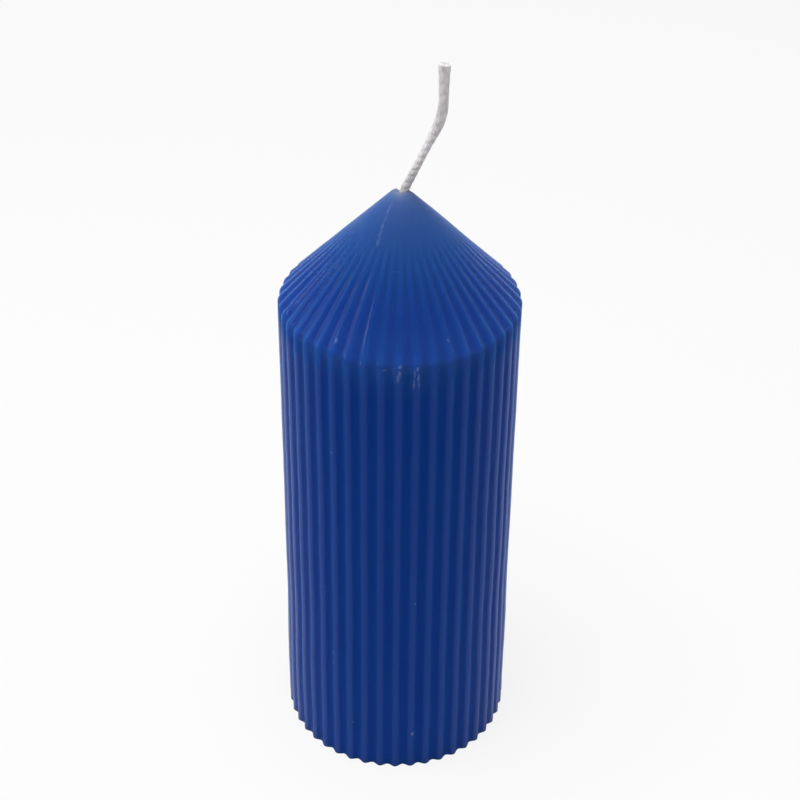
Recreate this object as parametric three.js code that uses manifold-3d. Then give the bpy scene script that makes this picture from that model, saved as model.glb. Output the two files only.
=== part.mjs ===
// Ribbed pillar candle with a conical top.
// It has three pieces: the moulded wax body, the braided wick that runs through it, and the
// stamped metal tab that holds the foot of the wick in the underside.
// Millimetres, +Z up. The origin is the centre of the base, and the front faces -Y.

import * as THREE from "three";
import { mergeVertices } from "three/addons/utils/BufferGeometryUtils.js";
import Module from "manifold-3d";

// Wax body, measured over the rib crests
const FOOT_DIAMETER = 60;
const FOOT_CHAMFER = 0.2;
const WALL_HEIGHT = 130; // to the edge where wall and cone would meet if it were sharp
const WALL_DRAFT_DEG = 0.4; // each side leans in, so that the casting leaves its mould
const SHOULDER_ROUNDING = 1.5;
const CONE_SLOPE_DEG = 46.1; // above the horizontal
const TIP_DIAMETER = 3.4;
const TIP_ROUNDING = 0.6;

// Ribs, which run up the wall, over the shoulder and up the cone, and fade out below the tip
const RIB_COUNT = 45;
const RIB_DEPTH = 0.9;
const RIB_CREST_SHARE = 0.38; // of the pitch, between the corners of a crest
const RIB_FLOOR_SHARE = 0.34; // of the pitch, between the corners of a groove's floor
const RIB_CORNER_DROP = 0.2; // of the depth, by which a corner lies off its crest or floor
const RUNOUT_DIAMETER = 19; // the cone is smooth inside this

// Wick, a flat braid
const WICK_WIDTH = 2.4;
const WICK_THICKNESS = 1.5;
const WICK_OFF_CENTRE = 0.6; // towards +X
const STUB_HEIGHT = 30.5; // free end above the tip
const STUB_LEAN_DEG = 24.8; // towards +X, from the mouth up to the bend
const STUB_BEND_HEIGHT = 18.6; // corner of the bend, above the tip
const STUB_BEND_REACH = 4.2; // length of each leg that the bend rounds off
const STUB_START_REACH = 1; // the same where the stub leaves the mouth
const CUT_END_FLARE = 1.05; // the cut end is a little wider than the braid
// Turn of the braid's broad side out of the XZ plane, at heights above the tip
const WICK_TURNS = [
  { height: -10, degrees: 90 },
  { height: 0, degrees: 68 },
  { height: 4, degrees: 60 },
  { height: 7.6, degrees: 88 },
  { height: 18.4, degrees: 8 },
  { height: 22, degrees: 43 },
  { height: 30.5, degrees: 5 },
];

// Channel for the wick, and the dished mouth round it at the tip
const WICK_CLEARANCE = 0.3;
const MOUTH_DIAMETER = 3.6;
const MOUTH_DEPTH = 0.8;

// Wick tab, stamped from sheet and crimped on the wick
const TAB_DIAMETER = 15;
const TAB_SHEET = 0.4;
const TAB_SET_IN = 0.4; // the underside of the tab lies this far above the base
const TAB_BEAD_DIAMETER = 10;
const TAB_BEAD_WIDTH = 1.8;
const TAB_BEAD_RISE = 0.35;
const NECK_HEIGHT = 6;
const NECK_ROOT_ROUNDING = 0.7;
const CRIMP_SQUEEZE = 0.25; // the neck is this much narrower on each side across the crimp
const CRIMP_HEIGHT = 3.4; // middle of the crimp, above the underside of the tab
const CRIMP_SPAN = 2.2;
const SEAT_CLEARANCE = 0.3; // between the tab and the wax around it

// Facets
const SHOULDER_STEPS = 4;
const CONE_STEPS = 3;
const TIP_STEPS = 2;
const ROUND_SEGMENTS = 40;
const WICK_SIDES = 12;
const BEND_STEPS = 9;
const STRAIGHT_STEPS = 5;
const CUT_MARGIN = 1; // by which a cutter runs past the face that it opens

// Sizes that follow from the ones above
const draft = THREE.MathUtils.degToRad(WALL_DRAFT_DEG);
const slope = THREE.MathUtils.degToRad(CONE_SLOPE_DEG);
const footRadius = FOOT_DIAMETER / 2;
const shoulderRadius = footRadius - WALL_HEIGHT * Math.tan(draft);
const tipRadius = TIP_DIAMETER / 2;
const tipHeight = WALL_HEIGHT + (shoulderRadius - tipRadius) * Math.tan(slope);
const runoutRadius = RUNOUT_DIAMETER / 2;
const coneNormal = Math.PI / 2 - slope;
const channelRadius = WICK_WIDTH / 2 + WICK_CLEARANCE;
const tabTop = TAB_SET_IN + TAB_SHEET + TAB_BEAD_RISE;
const neckInner = channelRadius + CRIMP_SQUEEZE;
const neckOuter = neckInner + TAB_SHEET;
const neckTop = TAB_SET_IN + NECK_HEIGHT;

const wasm = await Module();
wasm.setup();

function toSolid(geometry) {
  const bare = geometry.clone();
  bare.deleteAttribute("normal");
  bare.deleteAttribute("uv");
  const merged = mergeVertices(bare);
  return new wasm.Manifold(
    new wasm.Mesh({
      numProp: 3,
      vertProperties: new Float32Array(merged.attributes.position.array),
      triVerts: new Uint32Array(merged.index.array),
    }),
  );
}

function toGeometry(solid) {
  const mesh = solid.getMesh();
  const geometry = new THREE.BufferGeometry();
  geometry.setAttribute("position", new THREE.BufferAttribute(mesh.vertProperties, 3));
  geometry.setIndex(new THREE.BufferAttribute(mesh.triVerts, 1));
  geometry.computeVertexNormals();
  return geometry;
}

// A closed skin over rings that have as many points each, all counter-clockwise seen from the last
function skin(rings) {
  const count = rings[0].length;
  const middle = (ring) => {
    const sum = ring.reduce((total, point) => total.add(point), new THREE.Vector3());
    return sum.divideScalar(count);
  };
  const points = [...rings.flat(), middle(rings[0]), middle(rings.at(-1))];
  const startCentre = points.length - 2;
  const endCentre = points.length - 1;
  const lastRing = (rings.length - 1) * count;
  const index = [];
  for (let i = 0; i < count; i += 1) {
    const next = (i + 1) % count;
    index.push(startCentre, next, i);
    for (let start = 0; start < lastRing; start += count) {
      const above = start + count;
      index.push(start + i, start + next, above + next);
      index.push(start + i, above + next, above + i);
    }
    index.push(endCentre, lastRing + i, lastRing + next);
  }
  const geometry = new THREE.BufferGeometry().setFromPoints(points);
  geometry.setIndex(index);
  geometry.computeVertexNormals();
  return geometry;
}

// One place on the outline of the crests: its radius and height, the slope of its outward normal
// above the horizontal, and the depth of the grooves there
function station(radius, height, normalAngle, depth) {
  return { radius, height, normalAngle, depth };
}

function footStations() {
  return [
    station(footRadius - RIB_DEPTH * 2, 0, 0, 0),
    station(footRadius - FOOT_CHAMFER, 0, 0, RIB_DEPTH),
    station(footRadius - FOOT_CHAMFER * Math.tan(draft), FOOT_CHAMFER, 0, RIB_DEPTH),
  ];
}

// An arc tangent to both sides of a corner of the outline
function cornerStations(corner, rounding, steps, fromNormal, toNormal, depth) {
  const setBack = rounding / Math.cos((toNormal - fromNormal) / 2);
  const middle = (fromNormal + toNormal) / 2;
  const centreRadius = corner.radius - setBack * Math.cos(middle);
  const centreHeight = corner.height - setBack * Math.sin(middle);
  const stations = [];
  for (let i = 0; i <= steps; i += 1) {
    const angle = THREE.MathUtils.lerp(fromNormal, toNormal, i / steps);
    const radius = centreRadius + rounding * Math.cos(angle);
    const height = centreHeight + rounding * Math.sin(angle);
    stations.push(station(radius, height, angle, depth));
  }
  return stations;
}

// The grooves get shallower up the cone, down to nothing at the run-out
function coneStations(startRadius) {
  const stations = [];
  for (let i = 1; i <= CONE_STEPS; i += 1) {
    const share = i / CONE_STEPS;
    const radius = THREE.MathUtils.lerp(startRadius, runoutRadius, share);
    const height = WALL_HEIGHT + (shoulderRadius - radius) * Math.tan(slope);
    stations.push(station(radius, height, coneNormal, RIB_DEPTH * (1 - share)));
  }
  return stations;
}

function bodyStations() {
  const shoulder = { radius: shoulderRadius, height: WALL_HEIGHT };
  const shoulderArc = cornerStations(
    shoulder, SHOULDER_ROUNDING, SHOULDER_STEPS, draft, coneNormal, RIB_DEPTH,
  );
  const tip = { radius: tipRadius, height: tipHeight };
  const tipArc = cornerStations(tip, TIP_ROUNDING, TIP_STEPS, coneNormal, Math.PI / 2, 0);
  return [...footStations(), ...shoulderArc, ...coneStations(shoulderArc.at(-1).radius), ...tipArc];
}

// One rib and its groove: the share of the pitch from the crest, and the share of the depth
function ribSection() {
  const crestCorner = RIB_CREST_SHARE / 2;
  const floorCorner = 0.5 - RIB_FLOOR_SHARE / 2;
  return [
    { across: 0, sunk: 0 },
    { across: crestCorner, sunk: RIB_CORNER_DROP },
    { across: floorCorner, sunk: 1 - RIB_CORNER_DROP },
    { across: 0.5, sunk: 1 },
    { across: 1 - floorCorner, sunk: 1 - RIB_CORNER_DROP },
    { across: 1 - crestCorner, sunk: RIB_CORNER_DROP },
  ];
}

// The ribbed outline at a station. The first crest faces the front.
function ribbedRing({ radius, height, normalAngle, depth }) {
  const pitch = (2 * Math.PI) / RIB_COUNT;
  const ring = [];
  for (let rib = 0; rib < RIB_COUNT; rib += 1) {
    for (const { across, sunk } of ribSection()) {
      const angle = (rib + across) * pitch - Math.PI / 2;
      const reach = radius - depth * sunk * Math.cos(normalAngle);
      const rise = height - depth * sunk * Math.sin(normalAngle);
      ring.push(new THREE.Vector3(reach * Math.cos(angle), reach * Math.sin(angle), rise));
    }
  }
  return ring;
}

// An upright round cutter on the wick's own axis
function cutter(bottom, top, bottomRadius, topRadius = bottomRadius) {
  const height = top - bottom;
  const geometry = new THREE.CylinderGeometry(topRadius, bottomRadius, height, ROUND_SEGMENTS);
  geometry.rotateX(Math.PI / 2);
  geometry.translate(WICK_OFF_CENTRE, 0, bottom + height / 2);
  return toSolid(geometry);
}

// The channel, its dished mouth at the tip, and the seat of the tab and its neck in the base
function waxBody() {
  const flare = (MOUTH_DIAMETER / 2 - channelRadius) / MOUTH_DEPTH;
  const channel = cutter(0, tipHeight + CUT_MARGIN, channelRadius);
  const mouth = cutter(
    tipHeight - MOUTH_DEPTH, tipHeight + CUT_MARGIN, channelRadius,
    channelRadius + flare * (MOUTH_DEPTH + CUT_MARGIN),
  );
  const tabSeat = cutter(-CUT_MARGIN, tabTop + SEAT_CLEARANCE, TAB_DIAMETER / 2 + SEAT_CLEARANCE);
  const neckSeat = cutter(0, neckTop + SEAT_CLEARANCE, neckOuter + SEAT_CLEARANCE);
  const casting = toSolid(skin(bodyStations().map(ribbedRing)));
  return toGeometry(casting.subtract(channel).subtract(mouth).subtract(tabSeat).subtract(neckSeat));
}

// The wick's middle line: up the channel, out at the mouth with a lean, and upright past the bend
function wickLine() {
  const lean = THREE.MathUtils.degToRad(STUB_LEAN_DEG);
  const point = (x, z) => new THREE.Vector3(x, 0, z);
  const up = point(0, 1);
  const leaning = point(Math.sin(lean), Math.cos(lean));
  const foot = point(WICK_OFF_CENTRE, TAB_SET_IN);
  const start = point(WICK_OFF_CENTRE, tipHeight - MOUTH_DEPTH / 2);
  const rise = STUB_BEND_HEIGHT + MOUTH_DEPTH / 2;
  const bend = point(WICK_OFF_CENTRE + rise * Math.tan(lean), tipHeight + STUB_BEND_HEIGHT);
  const end = point(bend.x, tipHeight + STUB_HEIGHT);
  const along = (from, direction, reach) => from.clone().addScaledVector(direction, reach);
  const startIn = along(start, up, -STUB_START_REACH);
  const startOut = along(start, leaning, STUB_START_REACH);
  const bendIn = along(bend, leaning, -STUB_BEND_REACH);
  const bendOut = along(bend, up, STUB_BEND_REACH);
  const startArc = new THREE.QuadraticBezierCurve3(startIn, start, startOut);
  const bendArc = new THREE.QuadraticBezierCurve3(bendIn, bend, bendOut);
  const straight = new THREE.LineCurve3(startOut, bendIn);
  const upright = new THREE.LineCurve3(bendOut, end);
  return [
    foot,
    ...startArc.getPoints(TIP_STEPS),
    ...straight.getPoints(STRAIGHT_STEPS).slice(1),
    ...bendArc.getPoints(BEND_STEPS).slice(1),
    ...upright.getPoints(STRAIGHT_STEPS).slice(1),
  ];
}

// The turn of the braid at a height above the tip, eased between the given heights
function wickTurn(height) {
  const after = WICK_TURNS.findIndex((turn) => turn.height > height);
  if (after === 0) return WICK_TURNS[0].degrees;
  if (after === -1) return WICK_TURNS.at(-1).degrees;
  const [low, high] = [WICK_TURNS[after - 1], WICK_TURNS[after]];
  const share = THREE.MathUtils.smoothstep(height, low.height, high.height);
  return THREE.MathUtils.lerp(low.degrees, high.degrees, share);
}

// The braid's oval section, square to the line at one of its points
function wickRing(line, i) {
  const before = line[Math.max(i - 1, 0)];
  const after = line[Math.min(i + 1, line.length - 1)];
  const tangent = after.clone().sub(before).normalize();
  const across = new THREE.Vector3(tangent.z, 0, -tangent.x);
  const turn = THREE.MathUtils.degToRad(wickTurn(line[i].z - tipHeight));
  const broad = across.applyAxisAngle(tangent, turn);
  const narrow = tangent.clone().cross(broad);
  const flare = i === line.length - 1 ? CUT_END_FLARE : 1;
  const ring = [];
  for (let side = 0; side < WICK_SIDES; side += 1) {
    const angle = (2 * Math.PI * side) / WICK_SIDES;
    const point = line[i].clone();
    point.addScaledVector(broad, (flare * WICK_WIDTH * Math.cos(angle)) / 2);
    point.addScaledVector(narrow, (flare * WICK_THICKNESS * Math.sin(angle)) / 2);
    ring.push(point);
  }
  return ring;
}

function wick() {
  const line = wickLine();
  return skin(line.map((_, i) => wickRing(line, i)));
}

// The tab's section, from the bore out along the underside and back over the bead and up the neck
function tabProfile() {
  const bottom = TAB_SET_IN;
  const top = bottom + TAB_SHEET;
  const rim = TAB_DIAMETER / 2;
  const beadMiddle = TAB_BEAD_DIAMETER / 2;
  const beadOut = beadMiddle + TAB_BEAD_WIDTH / 2;
  const beadIn = beadMiddle - TAB_BEAD_WIDTH / 2;
  const crimpLow = bottom + CRIMP_HEIGHT - CRIMP_SPAN / 2;
  const crimpMiddle = bottom + CRIMP_HEIGHT;
  const crimpHigh = bottom + CRIMP_HEIGHT + CRIMP_SPAN / 2;
  const outline = [
    [neckInner, bottom],
    [beadIn, bottom],
    [beadMiddle, bottom + TAB_BEAD_RISE],
    [beadOut, bottom],
    [rim, bottom],
    [rim, top],
    [beadOut, top],
    [beadMiddle, top + TAB_BEAD_RISE],
    [beadIn, top],
    [neckOuter + NECK_ROOT_ROUNDING / 2, top],
    [neckOuter, top + NECK_ROOT_ROUNDING / 2],
    [neckOuter, crimpLow],
    [neckOuter, crimpMiddle],
    [neckOuter, crimpHigh],
    [neckOuter, neckTop],
    [neckInner, neckTop],
    [neckInner, crimpHigh],
    [neckInner, crimpMiddle],
    [neckInner, crimpLow],
    [neckInner, bottom],
  ];
  return outline.map(([radius, height]) => new THREE.Vector2(radius, height));
}

// The neck is squeezed across the narrow side of the wick, most at the middle of the crimp
function crimp(geometry) {
  const position = geometry.attributes.position;
  const middle = TAB_SET_IN + CRIMP_HEIGHT;
  for (let i = 0; i < position.count; i += 1) {
    const radius = Math.hypot(position.getX(i), position.getY(i));
    const away = Math.abs(position.getZ(i) - middle) / CRIMP_SPAN;
    const squeezed = radius < neckOuter + SEAT_CLEARANCE ? Math.max(0, 1 - 2 * away) : 0;
    position.setX(i, position.getX(i) * (1 - (squeezed * CRIMP_SQUEEZE) / neckInner));
  }
}

function wickTab() {
  const geometry = new THREE.LatheGeometry(tabProfile(), ROUND_SEGMENTS);
  geometry.rotateX(Math.PI / 2);
  geometry.deleteAttribute("normal");
  geometry.deleteAttribute("uv");
  crimp(geometry);
  geometry.translate(WICK_OFF_CENTRE, 0, 0);
  const merged = mergeVertices(geometry);
  merged.computeVertexNormals();
  return merged;
}

const blueWax = new THREE.MeshStandardMaterial({ color: 0x16418c, roughness: 0.45, metalness: 0 });
const cotton = new THREE.MeshStandardMaterial({ color: 0xb9b2b6, roughness: 0.95, metalness: 0 });
const tinnedSteel = new THREE.MeshStandardMaterial({ color: 0xb4b6b8, roughness: 0.35, metalness: 1 });

function piece(name, geometry, material) {
  const mesh = new THREE.Mesh(geometry, material);
  mesh.name = name;
  return mesh;
}

const candle = new THREE.Group();
candle.name = "ribbed_pillar_candle";
candle.add(piece("wax_body", waxBody(), blueWax));
candle.add(piece("wick", wick(), cotton));
candle.add(piece("wick_tab", wickTab(), tinnedSteel));

export default candle;
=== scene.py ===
"""A blue ribbed pillar candle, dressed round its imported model: the wax, the braided wick and the metal tab.
Metres, with +Z up, the origin at the centre of the base and the photographed side towards -Y."""

import math

import bpy
import numpy as np
from mathutils import Matrix, Vector


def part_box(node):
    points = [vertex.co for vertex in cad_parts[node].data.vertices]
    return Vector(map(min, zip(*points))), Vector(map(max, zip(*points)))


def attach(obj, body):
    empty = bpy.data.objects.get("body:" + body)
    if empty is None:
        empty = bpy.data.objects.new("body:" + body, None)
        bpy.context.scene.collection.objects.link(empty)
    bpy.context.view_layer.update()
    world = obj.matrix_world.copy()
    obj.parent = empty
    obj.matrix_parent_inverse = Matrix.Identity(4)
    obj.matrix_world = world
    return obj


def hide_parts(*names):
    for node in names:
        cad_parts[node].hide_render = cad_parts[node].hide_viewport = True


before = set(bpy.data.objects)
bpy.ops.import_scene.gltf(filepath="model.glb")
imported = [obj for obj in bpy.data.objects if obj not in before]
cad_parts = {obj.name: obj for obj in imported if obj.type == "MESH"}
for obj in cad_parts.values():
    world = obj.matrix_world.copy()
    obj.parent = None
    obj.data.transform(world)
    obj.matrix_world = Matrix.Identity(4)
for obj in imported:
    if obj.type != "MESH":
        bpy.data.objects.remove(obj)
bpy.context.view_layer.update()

MM = 0.001
TURN = 2 * math.pi
FRONT = -math.pi / 2  # the angle of the side that faces the camera

# Wax body, with the sizes of the model's driving values
RIB_COUNT = 45
RIB_DEPTH = 0.9 * MM
RIB_FLATNESS = 0.3  # 0 is a plain wave, 1 has flat crests and floors
PLAIN_FOOT = 15 * MM  # height over which the ribs change from a plain wave at the foot to that form
WALL_HEIGHT = 130 * MM
WALL_DRAFT = math.radians(0.4)
FOOT_ROUNDING = 0.2 * MM
SHOULDER_ROUNDING = 2.5 * MM
CONE_SLOPE = math.radians(46.1)
RUNOUT_RADIUS = 9.5 * MM
RUNOUT_POWER = 0.95  # below 1 the ribs keep their depth further up the cone
CONE_RIB_LOSS = 0.22  # share of the depth that the ribs lose just above the shoulder
CONE_RIB_LOSS_SPAN = 0.12  # share of the way up the cone over which they lose it
TIP_ROUNDING = 0.6 * MM
TIP_DROP = 0.5 * MM  # of the blunt top, below the lip beside the wick
TIP_BACK_EDGE = 0.5 * MM  # behind this the blunt top falls away
TIP_BACK_FALL = 0.6  # as a slope
LIP_END = -0.72 * MM  # right-hand end of the lip beside the wick
LIP_END_STEP = 0.12 * MM
LIP_FRONT = -0.35 * MM  # the lip's edge towards the photographed side
LIP_FRONT_STEP = 0.5 * MM
MOUTH_RADIUS = 2.3 * MM  # of the zone round the wick where the wax climbs it
MOUTH_EDGE = 1.2 * MOUTH_RADIUS  # where the rings of the tip end
MENISCUS_RISE = 0.5 * MM  # how far the wax climbs the wick
MENISCUS_LEAN = 0.6  # it climbs further on the side that the wick leans to
MENISCUS_POWER = 4  # the higher, the closer to the wick it starts to climb
WICK_OFF_CENTRE = 0.6 * MM
WALL_WAIST = 0.17 * MM  # by which the wall is drawn in half way up, as wax shrinks when it sets
SHOULDER_GLOW = 8 * MM  # depth of the zone under the shoulder that is lit more and more like the cone
SHOULDER_GLOW_TOP = 1 * MM  # above the shoulder, where that zone ends
TINY = 0.01 * MM

# Painted light: how pale the wax glows near the tip, as light comes through the thin wax: mm from the axis,
# share of the tip's colour
TIP_PAINTED_GLOW = ((1.3, 1), (2.2, 0.5), (3.2, 0.28), (5, 0.16), (8, 0.08), (12, 0.03), (17, 0))

# Seat of the tab and channel of the wick, in the hidden underside
SEAT_MARGIN = 0.1 * MM
SEAT_ROOM = 0.5 * MM  # over the underside of the tab
SEAT_EDGE = 0.25 * MM  # rounding of the seat's rim
FLAT_MARGIN = 3 * RIB_DEPTH  # between the flat underside and the foot's rounding
NECK_ROOM_RADIUS = 2.2 * MM
NECK_ROOM_LOW = 0.6 * MM
NECK_ROOM_HIGH = 7 * MM
CHANNEL_LOW = 8 * MM
CHANNEL_DEPTHS = (0.6 * MM, 4 * MM)  # of the channel's upper rings, below the blunt top
CHANNEL_SHARE = 1.1  # the channel's wall lies a little inside the wick's surface

# Slow swells of the wax: their height, number of waves, shortest and longest wave, seed
SWELLS = ((0.09 * MM, 10, 16 * MM, 60 * MM, 3), (0.03 * MM, 12, 4 * MM, 11 * MM, 5))
SWELL_FOOT = 4 * MM  # height over which they set in above the foot's rounding
SWELL_TIP = 3 * MM  # distance from the axis where they set in
SWELL_TIP_SPAN = 6 * MM

# Steps of the wax mesh
POINTS_PER_RIB = 16
SEAT_EDGE_STEPS = (0.3, 0.7, 1.0)
FLAT_STEPS = (0.25, 0.5, 0.75, 1.0)
FOOT_STEPS = (0.0, 0.35, 0.7, 1.0)
WALL_RINGS = 44
SHOULDER_RINGS = 7
CONE_RINGS = 34
TIP_RINGS = 12
MOUTH_RINGS = 20

# Wick
WICK_WIDTH = 2.55 * MM
WICK_THICKNESS = 1.8 * MM
STUB_LEAN = math.radians(24.6)
STUB_BEND_HEIGHT = 18.3 * MM
STUB_BEND_REACH = 4.2 * MM
STUB_START_REACH = 1.0 * MM
STUB_START_DEPTH = 0.4 * MM  # the wick starts to lean this far below the tip
STUB_RUN_BELOW = 4 * MM  # of straight wick under its first bend

# Turn of the wick's broad side about its own line: mm above the tip, degrees
WICK_TURNS = ((-10, 90), (0, 52), (4, 58), (7.6, 84), (18.4, 8), (22, 43), (30.5, 5))

wax_low, wax_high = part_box("wax_body")
wick_low, wick_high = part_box("wick")
tab_low, tab_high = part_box("wick_tab")
foot_radius = (wax_high.x - wax_low.x) / 2
shoulder_radius = foot_radius - WALL_HEIGHT * math.tan(WALL_DRAFT)
tip_height = wax_high.z
cone_normal = math.pi / 2 - CONE_SLOPE


def smooth_step(x):
    x = np.clip(x, 0, 1)
    return x * x * (3 - 2 * x)


def smooth_min(a, b, width):
    """The lesser of a and b, with the corner between them rounded over width."""
    h = np.clip(0.5 + 0.5 * (b - a) / width, 0, 1)
    return b + (a - b) * h - width * h * (1 - h)


def waves(points, count, shortest, longest, seed):
    """A smooth wandering value from about -1 to 1 at each point, from waves of mixed length and direction."""
    rng = np.random.RandomState(seed)
    total = np.zeros(len(points))
    for _ in range(count):
        direction = rng.normal(size=3)
        direction /= np.linalg.norm(direction)
        length = rng.uniform(shortest, longest)
        total += np.sin(points @ direction * TURN / length + rng.uniform(0, TURN))
    return total / math.sqrt(count * 2)


def new_mesh(name, vertices, faces):
    mesh = bpy.data.meshes.new(name)
    mesh.from_pydata(np.asarray(vertices).tolist(), [], [tuple(f) for f in faces])
    mesh.validate()
    mesh.update()
    mesh.shade_smooth()
    piece = bpy.data.objects.new(name, mesh)
    bpy.context.scene.collection.objects.link(piece)
    return piece


def grid_faces(rings, columns, start=0, closed=False):
    """The quads between rings of points, which run counter-clockwise seen from the last ring."""
    faces = []
    for i in range(rings if closed else rings - 1):
        here, above = start + i * columns, start + ((i + 1) % rings) * columns
        for c in range(columns):
            d = (c + 1) % columns
            faces.append((here + c, here + d, above + d, above + c))
    return faces


# Wax body

COLUMNS = RIB_COUNT * POINTS_PER_RIB
column_angle = FRONT + TURN * np.arange(COLUMNS) / COLUMNS
rib_share = (np.arange(COLUMNS) % POINTS_PER_RIB) / POINTS_PER_RIB


def rib_section(share, height):
    """How far the surface is sunk, from 0 at a crest to 1 at a groove's floor."""
    wave = (1 - np.cos(TURN * share)) / 2
    return wave - RIB_FLATNESS * smooth_step(height / PLAIN_FOOT) * np.sin(TURN * wave) / TURN


def ribbed_ring(radius, height, normal=0.0, depth=0.0, centre_x=0.0):
    """One ring of the wax: its points, and how deep in a groove each of them lies."""
    sunk = depth * rib_section(rib_share, height)
    reach = radius - sunk * math.cos(normal)
    rise = height - sunk * math.sin(normal)
    ring = np.stack(
        [centre_x + reach * np.cos(column_angle), reach * np.sin(column_angle), rise * np.ones(COLUMNS)],
        axis=1,
    )
    return ring, sunk / RIB_DEPTH


def base_rings():
    """The seat of the tab and the flat underside, out to the rounded foot of the ribs."""
    seat_radius = (tab_high.x - tab_low.x) / 2 + SEAT_MARGIN
    seat_top = tab_low.z + SEAT_ROOM
    yield ribbed_ring(seat_radius / 2, seat_top, centre_x=WICK_OFF_CENTRE)
    yield ribbed_ring(seat_radius, seat_top, centre_x=WICK_OFF_CENTRE)
    yield ribbed_ring(seat_radius, SEAT_EDGE, centre_x=WICK_OFF_CENTRE)
    for share in SEAT_EDGE_STEPS:
        angle = share * math.pi / 2
        radius = seat_radius + SEAT_EDGE * (1 - math.cos(angle))
        yield ribbed_ring(radius, SEAT_EDGE * (1 - math.sin(angle)), centre_x=WICK_OFF_CENTRE)
    flat_start = seat_radius + SEAT_EDGE
    flat_end = foot_radius - FLAT_MARGIN
    for share in FLAT_STEPS:
        radius = flat_start + (flat_end - flat_start) * share
        yield ribbed_ring(radius, 0, centre_x=WICK_OFF_CENTRE * (1 - share))
    for share in FOOT_STEPS:
        angle = share * math.pi / 2
        radius = foot_radius - FOOT_ROUNDING * (1 - math.sin(angle))
        yield ribbed_ring(radius, FOOT_ROUNDING * (1 - math.cos(angle)), depth=RIB_DEPTH)


def shoulder_rings():
    """The rounded edge between the wall and the cone."""
    turn = cone_normal - WALL_DRAFT
    set_back = SHOULDER_ROUNDING / math.cos(turn / 2)
    middle = (cone_normal + WALL_DRAFT) / 2
    centre_radius = shoulder_radius - set_back * math.cos(middle)
    centre_height = WALL_HEIGHT - set_back * math.sin(middle)
    for angle in np.linspace(WALL_DRAFT, cone_normal, SHOULDER_RINGS):
        radius = centre_radius + SHOULDER_ROUNDING * math.cos(angle)
        height = centre_height + SHOULDER_ROUNDING * math.sin(angle)
        yield ribbed_ring(radius, height, angle, RIB_DEPTH)


def wall_rings():
    """The straight wall, between the foot's rounding and the shoulder's."""
    shoulder_start = next(shoulder_rings())[0][0][2]
    for height in np.linspace(FOOT_ROUNDING, shoulder_start, WALL_RINGS + 2)[1:-1]:
        waist = WALL_WAIST * math.sin(math.pi * height / WALL_HEIGHT) ** 2
        yield ribbed_ring(foot_radius - height * math.tan(WALL_DRAFT) - waist, height, WALL_DRAFT, RIB_DEPTH)


def tip_surface(x, y):
    """Height of the upper cone and its blunt tip, which has a lip on the left and falls away at the back."""
    cone = WALL_HEIGHT + (shoulder_radius - np.hypot(x, y)) * math.tan(CONE_SLOPE)
    lip = TIP_DROP * smooth_step((LIP_END - x) / LIP_END_STEP) * smooth_step((y - LIP_FRONT) / LIP_FRONT_STEP)
    fall = TIP_BACK_FALL * np.maximum(y - TIP_BACK_EDGE, 0)
    return smooth_min(cone, tip_height - TIP_DROP + lip - fall, TIP_ROUNDING)


def cone_rings():
    """The ribs run up the cone and get shallower, down to nothing at the run-out."""
    *_, (last, _) = shoulder_rings()
    start = float(np.hypot(*last[0][:2]))
    for share in np.linspace(0, 1, CONE_RINGS + 1)[1:]:
        radius = start + (RUNOUT_RADIUS - start) * share
        height = WALL_HEIGHT + (shoulder_radius - radius) * math.tan(CONE_SLOPE)
        kept = 1 - CONE_RIB_LOSS * smooth_step(share / CONE_RIB_LOSS_SPAN)
        yield ribbed_ring(radius, height, cone_normal, RIB_DEPTH * kept * (1 - share) ** RUNOUT_POWER)
    for share in np.linspace(0, 1, TIP_RINGS)[1:]:
        radius = RUNOUT_RADIUS + (MOUTH_EDGE - RUNOUT_RADIUS) * share
        x = radius * np.cos(column_angle) + WICK_OFF_CENTRE * share
        y = radius * np.sin(column_angle)
        yield np.stack([x, y, tip_surface(x, y)], axis=1), np.zeros(COLUMNS)


def mouth_ring(share):
    """A ring between the edge of the tip's blunt top, at share 0, and the wick's surface, at share 1."""
    x = WICK_OFF_CENTRE + (MOUTH_RADIUS * (1 - share) + WICK_THICKNESS / 2 * share) * np.cos(column_angle)
    y = (MOUTH_RADIUS * (1 - share) + WICK_WIDTH / 2 * share) * np.sin(column_angle)
    rise = MENISCUS_RISE * (1 + MENISCUS_LEAN * np.cos(column_angle))
    height = tip_surface(x, y) + rise * share**MENISCUS_POWER
    return np.stack([x, y, height], axis=1), np.zeros(COLUMNS)


def mouth_rings():
    """The blunt top of the tip, with the wax drawn up round the wick, and the channel down to the tab."""
    for share in np.linspace(0, 1, MOUTH_RINGS):
        yield mouth_ring(share)
    for depth in (*CHANNEL_DEPTHS, tip_height - tab_low.z - CHANNEL_LOW):
        ring, groove = mouth_ring(CHANNEL_SHARE)
        ring[:, 2] = tip_height - TIP_DROP - depth
        yield ring, groove
    for height in (NECK_ROOM_HIGH, NECK_ROOM_LOW):
        yield ribbed_ring(NECK_ROOM_RADIUS, tab_low.z + height, centre_x=WICK_OFF_CENTRE)


def unsettle(points):
    """Small unevenness of a casting: slow swells, which leave the foot and the tip as they are."""
    reach = np.hypot(points[:, 0], points[:, 1])
    outward = points[:, :2] / np.maximum(reach, MM)[:, None]
    above_foot = smooth_step((points[:, 2] - FOOT_ROUNDING) / SWELL_FOOT)
    off_axis = smooth_step((reach - SWELL_TIP) / SWELL_TIP_SPAN)
    swell = sum(height * waves(points, *form) for height, *form in SWELLS)
    points[:, :2] += outward * (swell * above_foot * off_axis)[:, None]
    return points


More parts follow.
